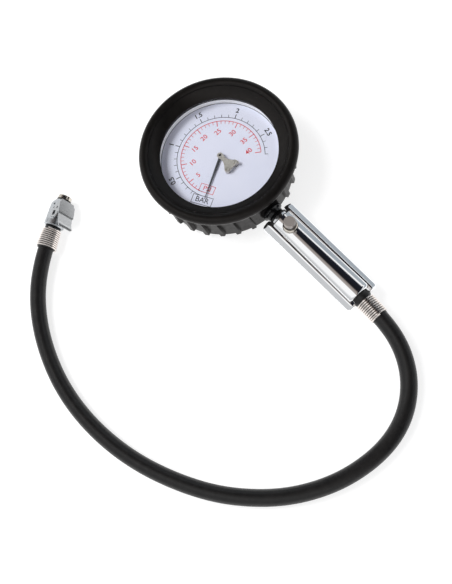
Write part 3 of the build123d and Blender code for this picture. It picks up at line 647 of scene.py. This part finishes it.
def wire_clamp(name, line, start, bulge_start, bulge_end, replaced):
    """Round wire wound on the hose, which bulges under it; each end lifts off and sticks out."""
    points = []
    turns = WIRE_TURNS - 1
    tail = WIRE_STEPS // 4
    for i in range(-tail, turns * WIRE_STEPS + tail + 1):
        turn = i / WIRE_STEPS
        kept = min(max(turn, 0.0), float(turns))
        past = abs(turn - kept)
        place, across, upward = ring_frame(line, start + (kept + 0.5) * WIRE_PITCH * MM)
        bulge = bulge_start + (bulge_end - bulge_start) * kept / turns
        radius = (HOSE_RADIUS + bulge + WIRE_RADIUS + WIRE_LIFT * past * past) * MM
        angle = 2 * pi * turn
        points.append(place + (across * cos(angle) + upward * sin(angle)) * radius)
    curve = bpy.data.curves.new(name, "CURVE")
    curve.dimensions = "3D"
    spline = curve.splines.new("POLY")
    spline.points.add(len(points) - 1)
    for target, place in zip(spline.points, points):
        target.co = (*place, 1.0)
    curve.bevel_depth = WIRE_RADIUS * MM
    curve.bevel_resolution = 3
    curve.use_fill_caps = True
    data = mesh_of(curve)
    data.name = name
    for face in data.polygons:
        face.use_smooth = True
    made = piece(name, data, FINISHES["wire_nickel"])
    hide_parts(replaced)
    return made


def hose_bulge(name, line, profile):
    """Rubber pushed out by the barb inside it: rings of (distance, bulge) along the hose."""
    shape = bmesh.new()
    sides = 48
    rings = []
    for distance, bulge in profile:
        place, across, upward = ring_frame(line, distance)
        radius = (HOSE_RADIUS + bulge) * MM
        ring = []
        for k in range(sides):
            angle = 2 * pi * k / sides
            outward = across * cos(angle) + upward * sin(angle)
            ring.append(shape.verts.new(place + outward * radius))
        rings.append(ring)
    rings.append(rings[0])
    for before, after in zip(rings, rings[1:]):
        for k in range(sides):
            j = (k + 1) % sides
            shape.faces.new((before[k], before[j], after[j], after[k]))
    bmesh.ops.recalc_face_normals(shape, faces=shape.faces)
    for face in shape.faces:
        face.smooth = True
    data = bpy.data.meshes.new(name)
    shape.to_mesh(data)
    shape.free()
    return piece(name, data, FINISHES["hose_rubber"])


def hose_and_clamps():
    """The hose as one cord, the two wound clamps on it and its swollen ends under them."""
    curve = hose_curve(HOSE_RADIUS * MM)
    hose = piece("air_hose", curve, FINISHES["hose_rubber"])
    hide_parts("hose")
    line = hose_line()
    length = sum((b - a).length for a, b in zip(line, line[1:]))
    wound = WIRE_PITCH * WIRE_TURNS * MM
    # Bulges are in millimetres past the hose's own radius, places in metres along its line.
    inside = -0.3  # a bulge's inner wall, within the hose
    edge = 0.1 * MM  # from the hose's end to the bulge's flat end
    # At the handle the hose's end bulges most before its clamp.
    swollen, squeezed, under_wire = 0.8, 0.14, 0.12
    handle_start = 3.7 * MM
    handle_end = handle_start + wound
    wire_clamp(
        "handle_clamp_wire", line, handle_start, under_wire, under_wire, "handle_coil_clamp"
    )
    hose_bulge("handle_hose_end", line, [
        (edge, inside), (edge, swollen), (handle_start - 0.6 * MM, swollen),
        (handle_start, squeezed), (handle_end, squeezed), (handle_end + 1.0 * MM, inside),
    ])
    # At the chuck the clamp opens out towards the hose.
    swollen, squeezed, wide, narrow = 0.86, 0.12, 0.85, 0.1
    chuck_end = length - 1.6 * MM
    chuck_start = chuck_end - wound
    chuck_clamp = wire_clamp(
        "chuck_clamp_wire", line, chuck_start, wide, narrow, "chuck_coil_clamp"
    )
    chuck_bulge = hose_bulge("chuck_hose_end", line, [
        (chuck_start - 0.8 * MM, inside), (chuck_start + 0.2 * MM, swollen),
        (chuck_end, squeezed), (length - edge, squeezed), (length - edge, inside),
    ])


# ======================= studio =======================

FLOOR_SIZE = 6.0
FLOOR_GAP = 0.3 * MM  # keeps the floor off the faces that rest on it


def floor():
    """A plain mid-grey floor that glows almost to white, like a light table."""
    bpy.ops.mesh.primitive_plane_add(size=FLOOR_SIZE, location=(0, 0, -FLOOR_GAP))
    made = bpy.context.object
    made.name = "floor"
    sheet = Finish("floor_paper", (0.42, 0.42, 0.42), 0.9, specular=0.0)
    sheet.tint(sheet.noise(400.0), (0.40, 0.40, 0.405), 0.5)
    sheet.set("Emission Color", (1, 1, 1, 1))
    sheet.set("Emission Strength", 0.77)
    made.data.materials.append(sheet.material)


# The surroundings' tones by the turn about the handle's axis, in degrees: 0 is straight up and the
# right side is positive.
ROOM_TONES = [
    (-180, (0.75, 0.75, 0.77)),
    (-95, (0.60, 0.61, 0.62)),
    (-41, (0.60, 0.61, 0.62)),
    (-35, (1.0, 1.0, 1.0)),
    (-13, (1.0, 1.0, 1.0)),
    (-9, (0.37, 0.33, 0.31)),
    (0, (0.33, 0.29, 0.27)),
    (6, (0.01, 0.01, 0.012)),
    (33, (0.012, 0.014, 0.022)),
    (36, (1.0, 1.0, 1.0)),
    (40, (1.0, 1.0, 1.0)),
    (44, (0.36, 0.40, 0.44)),
    (95, (0.44, 0.47, 0.50)),
    (180, (0.75, 0.75, 0.77)),
]
# Everywhere but beyond the boot the tones on the right are spread out: the turn counts for less.
WIDE_SHARE = 0.72
WIDE_BELOW = 0.20  # the heading's Y under which they are spread out in full
PLAIN_ABOVE = 0.34  # the heading's Y over which they aren't


def world():
    """Bands of tone round the handle's axis, as the panels of a small studio leave them.

    They are warm grey overhead, black, thin white and blue grey down the right, and white and grey
    down the left.
    """
    made = bpy.data.worlds.new("studio")
    bpy.context.scene.world = made
    made.use_nodes = True
    tree = made.node_tree
    background = tree.nodes["Background"]
    place = tree.nodes.new("ShaderNodeTexCoord")
    split = tree.nodes.new("ShaderNodeSeparateXYZ")
    ramp = tree.nodes.new("ShaderNodeValToRGB")

    def maths(operation, *values):
        """The result of an operation on outputs and numbers."""
        node = tree.nodes.new("ShaderNodeMath")
        node.operation = operation
        for socket, value in zip(node.inputs, values):
            if isinstance(value, float):
                socket.default_value = value
            else:
                tree.links.new(value, socket)
        return node.outputs[0]

    def map_range(value, from_min, from_max, to_min):
        """The value, from one limit to the other, mapped to to_min to 1."""
        node = tree.nodes.new("ShaderNodeMapRange")
        node.inputs["From Min"].default_value = from_min
        node.inputs["From Max"].default_value = from_max
        node.inputs["To Min"].default_value = to_min
        tree.links.new(value, node.inputs["Value"])
        return node.outputs[0]

    tree.links.new(place.outputs["Generated"], split.inputs[0])
    turn = maths("ARCTAN2", split.outputs["X"], split.outputs["Z"])
    share = map_range(split.outputs["Y"], WIDE_BELOW, PLAIN_ABOVE, WIDE_SHARE)
    right = maths("MAXIMUM", turn, 0.0)
    left = maths("MINIMUM", turn, 0.0)
    both = maths("MULTIPLY_ADD", right, share, left)
    tree.links.new(map_range(both, -pi, pi, 0.0), ramp.inputs[0])
    tree.links.new(ramp.outputs[0], background.inputs["Color"])
    stops = ramp.color_ramp.elements
    while len(stops) < len(ROOM_TONES):
        stops.new(0.5)
    for stop, (angle, tone) in zip(stops, ROOM_TONES):
        stop.position = (angle + 180) / 360
        stop.color = (*tone, 1.0)
    background.inputs["Strength"].default_value = 1.0


def softbox(name, place, target, size, power):
    """A square area light that points at a place.  Shiny surfaces don't mirror it."""
    light = bpy.data.lights.new(name, "AREA")
    light.shape = "SQUARE"
    light.size = size
    light.energy = power
    lamp = bpy.data.objects.new(name, light)
    lamp.visible_glossy = False
    lamp.location = place
    lamp.rotation_euler = (Vector(target) - Vector(place)).to_track_quat("-Z", "Y").to_euler()
    bpy.context.scene.collection.objects.link(lamp)


def camera():
    """The camera looks down on the gauge from the handle's side, rolled so that the handle runs to
    the lower right."""
    heading = radians(14.80)  # from +Y towards +X
    drop = radians(70.52)  # below level
    roll = radians(-28.17)
    target = Vector((-0.05449, -0.06123, 0.0))
    distance = 0.49932
    forward = Vector((sin(heading) * cos(drop), cos(heading) * cos(drop), -sin(drop)))
    level = forward.cross(Vector((0, 0, 1))).normalized()
    upright = level.cross(forward)
    right = level * cos(roll) + upright * sin(roll)
    up = upright * cos(roll) - level * sin(roll)
    data = bpy.data.cameras.new("camera")
    data.lens = 49.3
    data.sensor_width = 36.0
    data.sensor_fit = "AUTO"
    data.clip_start = 0.01
    made = bpy.data.objects.new("camera", data)
    turn = Matrix((right, up, -forward)).transposed()
    made.matrix_world = Matrix.Translation(target - forward * distance) @ turn.to_4x4()
    bpy.context.scene.collection.objects.link(made)
    bpy.context.scene.camera = made


dress_cad_parts()
dial_printing()
hose_and_clamps()
floor()
world()
softbox("key", place=(-0.36, 0.36, 0.9), target=(0, 0, 0), size=0.45, power=7.0)
camera()
bpy.context.scene.view_settings.view_transform = "Standard"
